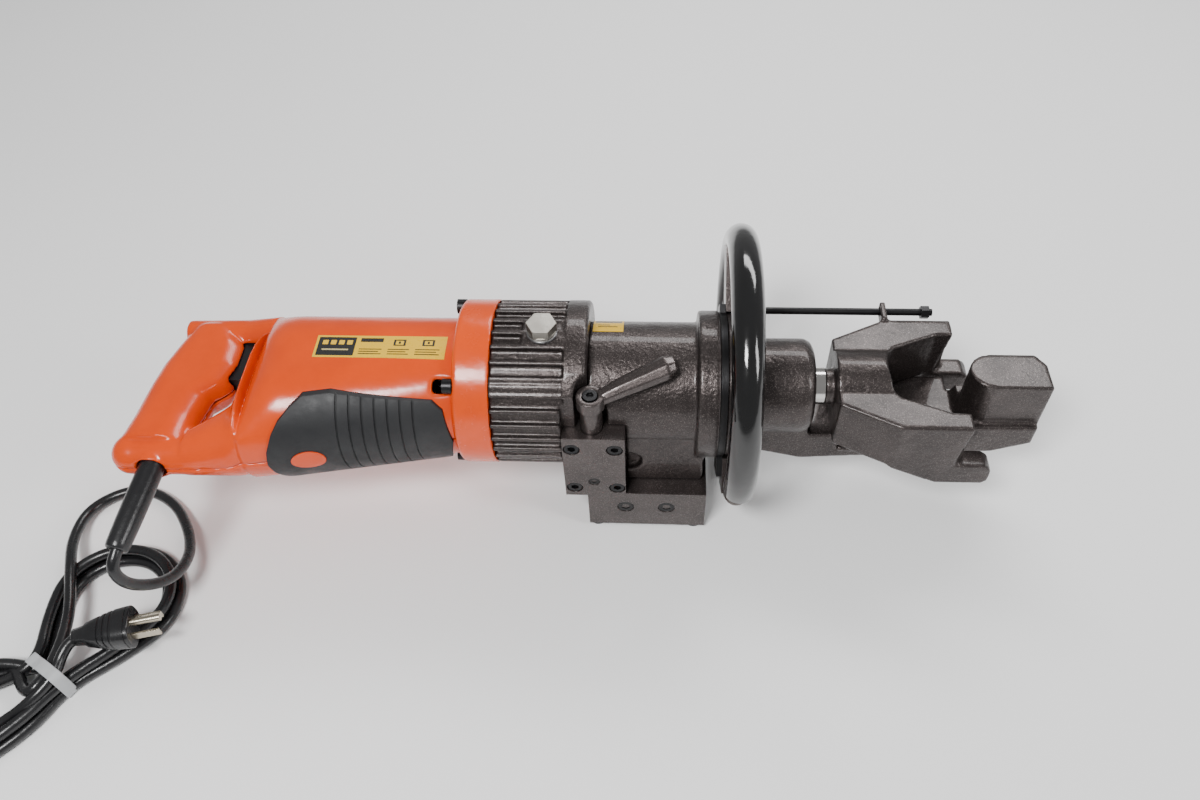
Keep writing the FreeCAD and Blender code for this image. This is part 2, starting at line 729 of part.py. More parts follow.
# ---------------------------------------------------------------- hydraulic block and cylinder

def port_plug(name, across, radius):
    """A flush plug with a hexagon socket, screwed into the block's front face."""
    bar = rod(name + "_bar", "Y", "hyd_front + 0.4", "hyd_front + 12", radius, across)
    return cut(name, bar, [hex_prism(name + "_key", "Y", "hyd_front", "hyd_front + 5", radius, across)])


def hydraulic_block():
    """One machined block: the pump body below and the valve column in front of the cylinder."""
    base = box("pump_base", ("hyd_left", "hyd_right"), ("hyd_front", 40), ("hyd_bottom", "hyd_top"))
    column = box("valve_column", ("column_left", "column_right"), ("hyd_front", "column_back"),
                 ("column_bottom", "column_top"))
    whole = fuse("hyd_whole", [base, column])
    screws = doc.getObject("block_screw_group")
    wells = []
    for i, (x, z) in enumerate(BLOCK_SCREW_PLACES):
        wells.append(rod("screw_well_%d" % i, "Y", -55, -49, 5.6, (x, z)))
    plugs = []
    for i, (where, radius) in enumerate((((-26, -72.5), 5.4), ((2.5, -72.5), 5.4), ((-47, -42.4), 3.4))):
        plugs.append(port_plug("port_plug_%d" % i, where, radius))
        wells.append(rod("port_well_%d" % i, "Y", "hyd_front - 1", "hyd_front + 0.8", radius + 0.6, where))
    ports = sub_part("port_plugs", group("port_plug_group", plugs))
    feet = []
    for i, (x, y) in enumerate(((-46, -46), (22, -46), (-46, 32), (22, 32))):
        feet.append(rod("foot_%d" % i, "Z", "floor_z", "hyd_bottom + 4", 6, (x, y)))
    feet_group = sub_part("feet", group("foot_group", feet))
    stem = rod("stem_bore", "Z", -21, 6, 4.1, ("lever_x", "lever_y"))
    collar = rod("stem_collar_seat", "Z", -6, 6, 7.5, ("lever_x", "lever_y"))
    plunger_bore = rod("block_plunger_bore", "Z", -80, "hyd_top + 1", 4.05, (-40, 0))
    sub_part("hydraulic_block", cut("hydraulic_block_cut", whole, wells + [
        screws, ports, feet_group, stem, collar, plunger_bore,
    ]))


def cylinder_unit():
    """The cylinder casting with its eccentric chamber and web, and the pump plunger inside."""
    barrel_profile = turned("cylinder_turned", [
        ("gear_front", "0"), ("cyl_flange_front", "0"), ("cyl_flange_front", "cyl_flange_radius - 1"),
        ("cyl_flange_front - 1", "cyl_flange_radius"), ("cyl_front + 1", "cyl_flange_radius"),
        ("cyl_front", "cyl_flange_radius - 1"), ("cyl_front", "cyl_radius"), ("gear_front", "cyl_radius"),
    ])
    web = box("cylinder_web", ("gear_front", 27), (-40, 40), ("hyd_top", 0))
    whole = fuse("cylinder_whole", [barrel_profile, web])
    chamber = rod("eccentric_chamber", "X", -51, -31, 15.5, (0, "0 - shaft_drop"))
    bore = rod("cylinder_bore", "X", -25, 36, "bore_radius")
    flat = box("column_flat", (-51, "column_right"), (-60, "column_back"), (-60, "column_top"))
    way = rod("plunger_way", "Z", -57, -30, 4.05, (-40, 0))
    recess = rod("web_recess", "Y", -41, -36, 9, (-24, -36))
    sub_part("cylinder_casting", cut("cylinder_casting_cut", whole, [
        chamber, bore, flat, way, recess, lever_pocket("casting_lever_pocket"),
        doc.getObject("block_screw_group"), doc.getObject("head_screw_group"),
    ]))
    sub_part("pump_plunger", rod("plunger_bar", "Z", -70, -37.1, 4, (-40, 0)))


# ---------------------------------------------------------------- ring handle and its plate

def radial_bar(name, angle, xs, low, high, half):
    """A flat bar pointing outwards from the ram's axis at an angle from +Y towards +Z."""
    obj = doc.addObject("Part::Box", name)
    obj.Length = xs[1] - xs[0]
    obj.Width = high - low
    obj.Height = 2 * half
    a = math.radians(angle)
    y = low * math.cos(a) + half * math.sin(a)
    z = low * math.sin(a) - half * math.cos(a)
    return place(obj, (xs[0], y, z), Rotation(Vector(1, 0, 0), angle))


LOWER_ARM = 233.8
UPPER_ARM = 38.2
GUIDE_ARM = 12.8


def handle_group():
    """The plate between cylinder and head frame, the arms on it and the ring handle."""
    screws = doc.getObject("head_screw_group")
    core = doc.addObject("Part::Torus", "ring_core_torus")
    core.setExpression("Radius1", expr("ring_radius"))
    core.setExpression("Radius2", expr("ring_core"))
    place(core, ("ring_x", "ring_y", 0), TURN["X"])
    sub_part("ring_core", core)
    disc = rod("plate_disc", "X", "cyl_flange_front", "plate_front", "cyl_flange_radius - 1")
    plate = fuse("plate_whole", [
        disc,
        radial_bar("plate_lower_ear", LOWER_ARM, (35.6, 39.5), 40, 62, 12),
        radial_bar("plate_upper_ear", UPPER_ARM, (35.6, 39.5), 40, 53, 11),
        radial_bar("plate_guide_ear", GUIDE_ARM, (35.6, 39.5), 40, 53, 5),
    ])
    bore = rod("plate_bore", "X", 35, 40, "spring_bore")
    sub_part("handle_plate", cut("handle_plate_cut", plate, [bore, screws]))
    arms = [
        cut("lower_arm", radial_bar("lower_arm_bar", LOWER_ARM, (39.5, 47.5), 49, 74, 12), [core]),
        cut("upper_arm", radial_bar("upper_arm_bar", UPPER_ARM, (39.5, 47.5), 48, 97, 10), [core]),
    ]
    arm_pair = sub_part("ring_arms", group("ring_arm_pair", arms))
    skin = doc.addObject("Part::Torus", "ring_skin_torus")
    skin.setExpression("Radius1", expr("ring_radius"))
    skin.setExpression("Radius2", expr("ring_skin"))
    skin.Angle3 = 304
    skin.Placement = Placement(Vector(), TURN["X"])
    place(skin, ("ring_x", "ring_y", 0), TURN["X"] * Rotation(Vector(0, 0, 1), 253))
    sub_part("ring_sleeve", cut("ring_sleeve_cut", skin, [core, arm_pair]))
    guide = radial_bar("guide_bar", GUIDE_ARM, (39.5, 46), 48, 64, 5)
    eye = rod("guide_eye", "X", 39, 47, "limit_radius + running", ("limit_y", "limit_z"))
    sub_part("limit_guide", cut("limit_guide_cut", guide, [eye]))
    sub_part("limit_rod", rod("limit_bar", "X", 36.5, 184, "limit_radius", ("limit_y", "limit_z")))
    nut = hex_prism("limit_nut_hex", "X", 176.2, 181.7, 8, ("limit_y", "limit_z"))
    sub_part("limit_nut", cut("limit_nut_cut", nut, [doc.getObject("limit_bar")]))


# ---------------------------------------------------------------- head frame and ram

def head_frame():
    """The C-shaped steel frame: nose, web, rail, guide plate and the former post at its tip."""
    nose = turned("nose_turned", [
        ("plate_front", "0"), ("nose_front", "0"), ("nose_front", "nose_radius - 6"),
        ("nose_front - 2", "nose_radius - 2"), ("nose_front - 6", "nose_radius"),
        ("frame_flange_front", "nose_radius"), ("frame_flange_front", "frame_flange_radius"),
        ("plate_front", "frame_flange_radius"),
    ])
    side = [
        (39.5, -20), (97.8, -20), (97.8, -30), (196, -30), (201, -19), (248.5, -18),
        (248.5, -35), (224.5, -45), (118, -54.4), (95.5, -56.6), (64, -48), (39.5, -46),
    ]
    web = prism("frame_side", "XZ_Plane", [(str(x), str(z)) for x, z in side], "0 - rail_half", "rail_half")
    guide = box("guide_plate", (116, 197), ("0 - guide_half", "guide_half"), ("guide_bottom", "guide_top"))
    post_outline = [
        ("post_front", "0 - post_half"), ("post_front", "6"), ("post_front - 6", "post_half"),
    ]
    for i in range(9):
        angle = math.radians(90 - 22.5 * i)
        side = "post_half * %.5f" % abs(math.sin(angle))
        along = "post_rear + post_half - post_half * %.5f" % math.cos(angle)
        post_outline.append((along, side if i < 4 else "0 - " + side))
    post = prism("former_post", "XY_Plane", post_outline, "-25", "post_top")
    step = rod("post_room", "Z", -31, -20, 18, (213.7, 0))
    plate = cut("guide_plate_cut", guide, [step])
    whole = fuse("frame_whole", [nose, web, plate, post])
    bore = turned("frame_bore", [
        ("39", "0"), ("99", "0"), ("99", "gland_radius"), ("gland_rear", "gland_radius"),
        ("gland_rear", "spring_bore"), ("39", "spring_bore"),
    ])
    sub_part("head_frame", cut("head_frame_cut", whole, [bore, doc.getObject("head_screw_group")]))
    for label, low, high, inner in (("gland_bush", 80, 88, "rod_radius + running"),
                                    ("rod_seal", 88, 94, "rod_radius + running"),
                                    ("wiper_ring", 94, 97.8, "rod_radius + running")):
        ring = rod(label + "_ring", "X", low, high, "gland_radius")
        sub_part(label, cut(label + "_cut", ring, [rod(label + "_hole", "X", low - 1, high + 1, inner)]))


def ram():
    """The piston, its rod and everything that the rod carries."""
    sub_part("ram_rod", turned("ram_rod_turned", [
        ("piston_rear", "0"), ("136", "0"), ("136", "rod_tip_radius"), ("106", "rod_tip_radius"),
        ("106", "rod_radius"), ("piston_front", "rod_radius"), ("piston_front", "9"),
        ("piston_rear", "9"),
    ]))
    seal = rod("seal_ring", "X", -8, -1, "bore_radius - 0.06")
    seal_hole = rod("seal_hole", "X", -9, 0, 25.5)
    seal_cut = sub_part("piston_seal", cut("piston_seal_cut", seal, [seal_hole]))
    disc = rod("piston_disc", "X", "piston_rear", "piston_front", "bore_radius - 0.1")
    sub_part("piston", cut("piston_cut", disc, [seal_cut, rod("piston_hole", "X", -13, 5, 9)]))
    spring = coil_spring("X", 4.3, 79.7, 16.8, 1.7, 12)
    sub_part("return_spring", placed_shape("return_spring_shape", spring))
    bending_block()


def mirrored(points):
    """An outline from its half at positive Y, listed from one end of the ram's axis to the other."""
    return points + [(x, "0 - " + y) for x, y in reversed(points)]


def bending_block():
    """The V-shaped block: a boss on the rod, two wings and the skirts that straddle the guide plate."""
    plan = [
        ("block_rear", "29"), ("149.5", "block_half"), ("wing_tip - 5", "block_half"), ("wing_tip", "43"),
        ("wing_tip", "39.5"), ("188", "35.5"), ("168", "27.5"), ("152", "21"), ("147.5", "15.5"), ("145", "4"),
    ]
    upper = prism("block_plan", "XY_Plane", mirrored(plan), "-25.7", "block_top")
    boss = rod("block_boss", "X", "block_rear", 151, 23.5)
    neck = rod("block_neck", "X", 106, 113.5, 12)
    mouth = prism("mouth_room", "XY_Plane", mirrored(plan[4:]), "-26", "40")
    side_profile = [
        ("block_rear", "block_top"), ("wing_tip", "block_top"), ("wing_tip - 5.5", "-24"),
        ("tab_tip - 5.6", "-24"), ("tab_tip - 1.1", "-28"), ("tab_tip", "-34"), ("tab_tip - 0.6", "-40"),
        ("tab_tip - 4.6", "block_bottom"), ("181", "block_bottom"), ("146", "-26"), ("block_rear", "-26"),
    ]
    skirts = []
    for name, low, high in (("near", "33.6", "block_half"), ("far", "0 - block_half", "-33.6")):
        skirts.append(prism("skirt_" + name, "XZ_Plane", side_profile, low, high))
    flank_prism = prism("block_flanks", "XY_Plane", mirrored(plan[:2] + [("230", "block_half")]), "-44", "50")
    whole = fuse("block_whole", [cut("boss_and_wings", fuse("block_upper", [upper, boss]), [mouth]),
                                 common("skirts_trimmed", fuse("skirts", skirts), flank_prism)])
    lug_bar = box("limit_lug", (148, 152), (46, 62), (8, 18))
    lug_eye = rod("limit_lug_eye", "X", 147, 153, "limit_radius + 0.6", ("limit_y", "limit_z"))
    set_screw = rod("set_screw_bar", "Z", 9.5, 22.6, 3, (123, 0))
    key = hex_prism("set_screw_key", "Z", 20, 23, 3, (123, 0))
    screw = sub_part("set_screw", cut("set_screw_cut", set_screw, [doc.getObject("ram_rod_turned"), key]))
    rod_hole = rod("block_rod_hole", "X", 105, 136, "rod_tip_radius")
    sub_part("bending_block", cut("bending_block_cut", fuse("block_with_lug", [whole, neck, lug_bar]),
                                  [lug_eye, rod_hole, screw]))


# ---------------------------------------------------------------- release lever

def release_lever():
    """The clamping lever that opens the return valve, on its stem in the valve column."""
    across = ("lever_x", "lever_y")
    collar = rod("stem_collar_bar", "Z", -6, 25.6, 7.2, across)
    sub_part("stem_collar", cut("stem_collar_cut", collar, [rod("collar_way", "Z", -7, 26, 4.1, across)]))
    sub_part("valve_stem", rod("stem_bar", "Z", -20, 33, 4, across))
    hub = rod("lever_hub", "Z", 26, 36.2, 9.1, across)
    arm = lever_arm([(3, 30.6, 5, 4.6), (17, 35.4, 6.2, 5.6), (50, 44, 8, 6.8), (56, 45.2, 6, 5)])
    head = rod("lever_screw_head", "Z", 33, 36.8, 4.7, across)
    screw = cut("lever_screw_cut", head, [hex_prism("lever_screw_key", "Z", 35, 37, 4.4, across)])
    sub_part("lever_screw", screw)
    sub_part("release_lever", cut("release_lever_cut", fuse("lever_whole", [hub, arm]), [
        screw,
        rod("lever_stem_hole", "Z", 25, 33, 4, across),
        rod("lever_screw_well", "Z", 33, 50, 5, across),
    ]))


def lever_arm(sections):
    """The lever's arm: eight-sided sections along its line, each its place, height and half sizes."""
    wires = []
    for along, height, half_width, half_height in sections:
        corners = []
        for i in range(9):
            angle = math.radians(22.5 + 45 * i)
            across, up = half_width * math.cos(angle), half_height * math.sin(angle)
            corners.append(Vector(along, 1.08 * across, height + 1.08 * up))
        wires.append(Part.makePolygon(corners))
    solid = Part.makeLoft(wires, True, True)
    turn = Rotation(Vector(0, 0, 1), size("lever_turn"))
    solid.Placement = Placement(Vector(size("lever_x"), size("lever_y"), 0), turn)
    return placed_shape("lever_arm_shape", solid)


# ---------------------------------------------------------------- cord

GUARD_START = (-330.4, -74, 1)
ROUTE = [
    (-340, -133, -12), (-342.5, -144, -20), (-339, -142, -42), (-328, -126, -64), (-327, -100, -78),
    (-340, -72, -88), (-363, -43, -93.4), (-395, -31, -93.4), (-424, -50, -92.5), (-423, -82, -86),
    (-407, -115, -77.5), (-394, -148, -77.5), (-392.3, -182, -77.8),
]

WAIST = (-397.7, -182.7)
WAIST_TURN = -30.7


def rounded_route(points):
    """Straight runs joined by tangent arcs, each as large as its two runs allow."""
    corners = [Vector(*p) for p in points]
    edges, start = [], corners[0]
    for before, here, after in zip(corners, corners[1:], corners[2:]):
        back, ahead = (before - here), (after - here)
        reach = 0.45 * min(back.Length, ahead.Length)
        turn = math.pi - back.getAngle(ahead)
        radius = reach / math.tan(turn / 2)
        print("cord arc radius %.1f, turn %.0f degrees" % (radius, math.degrees(turn)))
        enter = here + back.normalize() * reach
        leave = here + ahead.normalize() * reach
        middle = here + (enter + leave - here * 2).normalize() * (radius / math.cos(turn / 2) - radius)
        edges.append(Part.LineSegment(start, enter).toShape())
        edges.append(Part.Arc(enter, middle, leave).toShape())
        start = leave
    edges.append(Part.LineSegment(start, corners[-1]).toShape())
    return Part.Wire(edges)


def cord():
    """The mains cord: guard, free lead, tied hank, tie and plug."""
    start, end = Vector(*GUARD_START), Vector(*ROUTE[0])
    axis = end - start
    cone = Part.makeCone(8.1, 7.8, axis.Length, start, axis)
    sub_part("cord_guard", placed_shape("cord_guard_shape", cone))
    path = rounded_route(ROUTE)
    radius = size("cord_radius")
    circle = Part.Wire(Part.makeCircle(radius, Vector(*ROUTE[0]), Vector(*ROUTE[1]) - Vector(*ROUTE[0])))
    tube = path.makePipeShell([circle], True, False)
    print("cord volume over section times length", tube.Volume / (math.pi * radius ** 2 * path.Length))
    sub_part("cord_lead", placed_shape("cord_lead_shape", tube))
    floor, height = size("floor_z"), size("hank_height")
    lobes = []
    for centre, outer, inner, lean in (
        ((-376, -126), (50, 47), (26, 15), 0),
        ((-447, -213), (60, 41), (33, 17), 28),
    ):
        lobes.append(ring_lobe(centre, outer, inner, lean, floor, height))
    waist = waist_block(34, 46, height, floor)
    hank = lobes[0].fuse(lobes[1]).fuse(waist).removeSplitter()
    sub_part("cord_hank", placed_shape("cord_hank_shape", hank))
    band = waist_block(39, 8, height + 11, floor).cut(hank).cut(tube)
    sub_part("cord_tie", placed_shape("cord_tie_shape", band))
    plug(floor + height)


def waist_block(length, width, height, floor):
    """A block across the waist of the hank, square to the way its strands run there."""
    block = Part.makeBox(length, width, height, Vector(-length / 2, -width / 2, floor))
    block.rotate(Vector(), Vector(0, 0, 1), WAIST_TURN)
    block.translate(Vector(*WAIST, 0))
    return block


def ring_lobe(centre, outer, inner, lean, floor, height):
    """One flat oval ring of the tied hank."""
    faces = []
    for half_long, half_short in (outer, inner):
        curve = Part.Ellipse(Vector(centre[0], centre[1], floor), half_long, half_short)
        curve.XAxis = Vector(math.cos(math.radians(lean)), math.sin(math.radians(lean)), 0)
        faces.append(Part.Face(Part.Wire(curve.toShape())))
    return faces[0].cut(faces[1]).extrude(Vector(0, 0, height))


def plug(rest):
    """A three-pin mains plug lying on the hank."""
    turn = Rotation(Vector(0, 0, 1), 14)
    centre = Vector(-356.1, -158.5, rest + 11)

    def section(along, half_wide, half_high):
        points = []
        for i in range(17):
            angle = 2 * math.pi * i / 16
            wide = math.copysign(abs(math.cos(angle)) ** 0.6, math.cos(angle)) * half_wide
            high = math.copysign(abs(math.sin(angle)) ** 0.6, math.sin(angle)) * half_high
            points.append(Vector(along, wide, high))
        points[-1] = points[0]
        return Part.makePolygon(points)

    rings = [section(-26, 5, 5), section(-17, 7, 7), section(-2, 12, 10), section(12, 13.5, 10.7)]
    body = Part.makeLoft(rings, True, True)
    pins = [
        Part.makeBox(17, 1.5, 6.3, Vector(12, 5.6, -4.5)),
        Part.makeBox(17, 1.5, 6.3, Vector(12, -7.1, -4.5)),
        Part.makeCylinder(2.4, 19, Vector(12, 0, 5.5), Vector(1, 0, 0)),
    ]
    for shape in [body] + pins:
        shape.rotate(Vector(), Vector(0, 0, 1), math.degrees(turn.Angle))
        shape.translate(centre)
    sub_part("plug_body", placed_shape("plug_body_shape", body))
    sub_part("plug_pins", placed_shape("plug_pins_shape", Part.makeCompound(pins)))


# ---------------------------------------------------------------- labels

def labels():
    """The rating label on the barrel and the sticker on the cylinder, both thin films."""
    barrel_label = cut("rating_film", barrel("rating_outer", 0.3, -232, -139),
                       [barrel("rating_inner", 0, -233, -138)])
    rating_area = box("rating_area", (-228.4, -142.2), (-18.5, 0.5), (30, 60))
    rating = common("rating_label_film", barrel_label, rating_area)
    film = cut("sticker_film", rod("sticker_outer", "X", -48, -28, "cyl_radius + 0.3"),
               [rod("sticker_inner", "X", -49, -27, "cyl_radius")])
    sticker_area = box("sticker_area", (-48, -28), (9, 27), (20, 60))
    sticker = common("sticker_film_area", film, sticker_area)
    sub_part("labels", group("label_pair", [rating, sticker]))


screw_groups()
motor_housing()
soft_grip()
armature()
gear_train()
motor_fixed_parts()
trigger()
gear_end()
hydraulic_block()
cylinder_unit()
handle_group()
head_frame()
ram()
release_lever()
labels()
cord()
doc.recompute()

# ---------------------------------------------------------------- checks and files

for obj in doc.Objects:
    bad = [state for state in obj.State if state in ("Invalid", "Error")]
    if bad:
        raise SystemExit("%s (%s) is %s" % (obj.Name, obj.Label, ", ".join(bad)))
for obj in SUB_PARTS:
    if obj.Shape.isNull() or not obj.Shape.isValid() or not obj.Shape.Solids:
        raise SystemExit("%s has no valid solid" % obj.Label)
os.makedirs("parts", exist_ok=True)
for obj in SUB_PARTS:
    obj.Shape.exportStep("parts/%s.step" % obj.Label)
print(len(SUB_PARTS), "sub-parts written")
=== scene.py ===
"""Portable electro-hydraulic rebar bender: materials, cord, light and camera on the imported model."""
import json
import math

import bpy
from mathutils import Matrix, Vector


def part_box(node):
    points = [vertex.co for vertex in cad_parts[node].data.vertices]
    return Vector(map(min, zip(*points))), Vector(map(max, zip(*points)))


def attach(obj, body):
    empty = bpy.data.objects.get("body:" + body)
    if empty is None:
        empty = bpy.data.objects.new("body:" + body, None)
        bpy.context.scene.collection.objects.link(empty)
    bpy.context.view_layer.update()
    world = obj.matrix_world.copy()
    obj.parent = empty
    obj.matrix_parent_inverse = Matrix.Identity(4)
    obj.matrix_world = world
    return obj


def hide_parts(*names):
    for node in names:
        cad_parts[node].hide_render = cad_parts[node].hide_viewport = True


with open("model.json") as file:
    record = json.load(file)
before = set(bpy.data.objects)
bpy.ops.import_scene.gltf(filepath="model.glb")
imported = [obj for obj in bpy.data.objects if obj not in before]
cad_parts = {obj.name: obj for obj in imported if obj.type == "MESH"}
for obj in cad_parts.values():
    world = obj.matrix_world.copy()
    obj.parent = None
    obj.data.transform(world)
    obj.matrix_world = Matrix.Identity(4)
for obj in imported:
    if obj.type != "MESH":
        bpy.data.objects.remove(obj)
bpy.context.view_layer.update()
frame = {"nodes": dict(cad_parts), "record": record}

# ---------------- places, measured from the ram's axis in millimetres

ROD_LOW, ROD_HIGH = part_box("ram_rod")
ROD_BEHIND_ZERO = 0.012
AXIS = Vector((ROD_LOW[0] + ROD_BEHIND_ZERO, (ROD_LOW[1] + ROD_HIGH[1]) / 2, (ROD_LOW[2] + ROD_HIGH[2]) / 2))
FLOOR = -97.4


def at(x, y, z):
    """A place in the row frame, in metres."""
    return AXIS + Vector((x, y, z)) / 1000


# ---------------- camera

CAMERA_PLACE = (-5.4, -433.3, 510.5)
CAMERA_AZIMUTH, CAMERA_ELEVATION, CAMERA_ROLL = 5.2, 50.6, -3.1
CAMERA_LENS, CAMERA_SENSOR = 29.54, 36


def set_camera():
    azimuth, elevation, roll = map(math.radians, (CAMERA_AZIMUTH, CAMERA_ELEVATION, CAMERA_ROLL))
    ahead = Vector((-math.sin(azimuth) * math.cos(elevation), math.cos(azimuth) * math.cos(elevation),
                    -math.sin(elevation)))
    level = Vector((math.cos(azimuth), math.sin(azimuth), 0))
    upright = level.cross(ahead)
    right = level * math.cos(roll) + upright * math.sin(roll)
    up = right.cross(ahead)
    data = bpy.data.cameras.new("camera")
    data.lens = CAMERA_LENS
    data.sensor_width = CAMERA_SENSOR
    camera = bpy.data.objects.new("camera", data)
    bpy.context.scene.collection.objects.link(camera)
    turn = Matrix((right, up, -ahead)).transposed().to_4x4()
    camera.matrix_world = Matrix.Translation(at(*CAMERA_PLACE)) @ turn
    bpy.context.scene.camera = camera


set_camera()

# ---------------- cord: listed route, then the turns of the hank

CORD_RADIUS = 0.0038
GUARD_START = (-330.4, -74, 1)
ROUTE = [
    (-340, -133, -12), (-342.5, -144, -20), (-339, -142, -42), (-328, -126, -64), (-327, -100, -78),
    (-340, -72, -88), (-363, -43, -93.4), (-395, -31, -93.4), (-424, -50, -92.5), (-423, -82, -86),
    (-407, -115, -77.5), (-394, -148, -77.5), (-392.3, -182, -77.8),
]
WAIST = Vector((-397.7, -182.7, 0))
WAIST_SIDE = Vector((0.86, -0.51, 0))
RIGHT_LOBE = (Vector((-376, -126, 0)), 46, 43, 0)
LEFT_LOBE = (Vector((-447, -213, 0)), 56, 37, 28)
LOBE_POINTS, FIRST_TURN, TURN_STEP = 7, 48, 44


def lobe_points(lobe, inward, height):
    """The places round one lobe of the hank, from one side of the waist to the other."""
    centre, long_half, short_half, lean = lobe
    lean = math.radians(lean)
    to_waist = math.atan2(WAIST.y - centre.y, WAIST.x - centre.x)
    places = []
    for i in range(LOBE_POINTS):
        angle = to_waist + math.radians(FIRST_TURN + TURN_STEP * i) - lean
        along, across = (long_half - inward) * math.cos(angle), (short_half - inward) * math.sin(angle)
        x = along * math.cos(lean) - across * math.sin(lean)
        y = along * math.sin(lean) + across * math.cos(lean)
        places.append((centre.x + x, centre.y + y, height))
    return places


def waist_point(side, height):
    where = WAIST + WAIST_SIDE * side
    return (where.x, where.y, height)


def curve_object(name, points, radius):
    data = bpy.data.curves.new(name, "CURVE")
    data.dimensions = "3D"
    data.bevel_depth = radius
    data.bevel_resolution = 6
    data.use_fill_caps = True
    data.resolution_u = 10
    spline = data.splines.new("NURBS")
    spline.points.add(len(points) - 1)
    for point, place in zip(spline.points, points):
        point.co = (*at(*place), 1)
    spline.order_u = 3
    spline.use_endpoint_u = True
    obj = bpy.data.objects.new(name, data)
    bpy.context.scene.collection.objects.link(obj)
    return obj


LOW, HIGH, TOP = FLOOR + 3.9, FLOOR + 11.7, FLOOR + 19.6
# each turn: how far inside the lobes, its height there and at the waist, and where it crosses the waist
TURNS = [
    (0, LOW, LOW, 12, -12),
    (9, LOW, LOW, 4, -4),
    (4, HIGH, HIGH, 12, -12),
    (18, LOW + 1, HIGH, 4, -4),
]


def cord_points():
    start, end = Vector(GUARD_START), Vector(ROUTE[0])
    points = [GUARD_START, tuple(start.lerp(end, 0.5))] + ROUTE
    points.append((-402, -204, -80))
    for number, (inward, height, waist_height, right_side, left_side) in enumerate(TURNS):
        points += lobe_points(LEFT_LOBE, inward, height)
        if number == len(TURNS) - 1:
            break
        points.append(waist_point(right_side, waist_height))
        points += lobe_points(RIGHT_LOBE, inward, height)
        points.append(waist_point(left_side, waist_height))
    points += [(-401, -206, -82), waist_point(11, TOP), (-387.5, -175, -74.5), (-382.5, -165.6, -70.6),
               (-374, -163, -70.4)]
    return points


cord = curve_object("cord", cord_points(), CORD_RADIUS)


def revolve(name, start, end, profile, segments=32):
    """A turned sleeve: profile holds how far along from start to end, and radius in millimetres."""
    start, end = Vector(start), Vector(end)
    axis = (end - start).normalized()
    side = axis.cross(Vector((0, 0, 1))).normalized()
    lift = side.cross(axis)
    verts, faces = [], []
    for share, radius in profile:
        middle = start.lerp(end, share)
        for i in range(segments):
            angle = 2 * math.pi * i / segments
            verts.append(at(*(middle + side * radius * math.cos(angle) + lift * radius * math.sin(angle))))
    rings = len(profile)
    for ring in range(rings - 1):
        for i in range(segments):
            j = (i + 1) % segments
            a, b = ring * segments, (ring + 1) * segments
            faces.append((a + i, a + j, b + j, b + i))
    faces.append(tuple(reversed(range(segments))))
    faces.append(tuple(range((rings - 1) * segments, rings * segments)))
    return mesh_object(name, verts, faces)


def mesh_object(name, verts, faces, smooth_angle=35):
    mesh = bpy.data.meshes.new(name)
    mesh.from_pydata([tuple(v) for v in verts], [], faces)
    mesh.validate()
    mesh.update()
    obj = bpy.data.objects.new(name, mesh)
    bpy.context.scene.collection.objects.link(obj)
    make_smooth(obj, smooth_angle)
    return obj


def make_smooth(obj, angle):
    """Smooth shading that keeps edges sharper than an angle."""
    mesh = obj.data
    mesh.polygons.foreach_set("use_smooth", [True] * len(mesh.polygons))
    mesh.set_sharp_from_angle(angle=math.radians(angle))


GUARD_PROFILE = [
    (0, 8.1), (0.4, 8.1), (0.7, 7.9), (0.93, 7.5), (0.975, 7.2), (0.99, 6.7), (1, 5.6), (1, 4.4), (0.97, 3.9),
]
guard = revolve("cord_sleeve", GUARD_START, ROUTE[0], GUARD_PROFILE)


PLUG_CENTRE, PLUG_TURN = Vector((-356.1, -158.5, FLOOR + 27)), math.radians(14)
SQUARENESS = 0.7


def plug_mesh():
    """The moulded body of the mains plug, with finger ridges and a flat face."""
    ahead = Vector((math.cos(PLUG_TURN), math.sin(PLUG_TURN), 0))
    side = Vector((-ahead.y, ahead.x, 0))
    stations = [
        (-26, 4.6, 4.6), (-25.5, 5.1, 5.1), (-19, 6, 6), (-17, 7.6, 7.2), (-14, 8.4, 7.8), (-10, 9.8, 8.6),
        (-8.6, 10.2, 8.8), (-8.2, 9.7, 8.3), (-7, 10, 8.5),
        (-6.6, 10.9, 9.2), (-4.6, 11.4, 9.5), (-4.2, 10.8, 9), (-3, 11.1, 9.2),
        (-2.6, 12, 9.9), (-0.6, 12.3, 10.1), (-0.2, 11.8, 9.6), (1, 12, 9.8), (1.4, 12.8, 10.3),
        (8, 13.4, 10.7), (9, 13.5, 10.7), (9.3, 13, 10.3), (9.8, 13, 10.3),
        (10.1, 13.5, 10.7), (11.4, 13.5, 10.7), (12, 13, 10.2),
    ]
    count = 48
    verts, faces = [], []
    for along, wide, high in stations:
        for i in range(count):
            angle = 2 * math.pi * i / count
            across = math.copysign(abs(math.cos(angle)) ** SQUARENESS, math.cos(angle)) * wide
            lift = math.copysign(abs(math.sin(angle)) ** SQUARENESS, math.sin(angle)) * high
            place = PLUG_CENTRE + ahead * along + side * across + Vector((0, 0, lift))
            verts.append(at(*place))
    for ring in range(len(stations) - 1):
        for i in range(count):
            j = (i + 1) % count
            a, b = ring * count, (ring + 1) * count
            faces.append((a + i, b + i, b + j, a + j))
    faces.append(tuple(range(count)))
    faces.append(tuple(reversed(range((len(stations) - 1) * count, len(stations) * count))))
    return mesh_object("mains_plug", verts, faces, 40)


plug = plug_mesh()


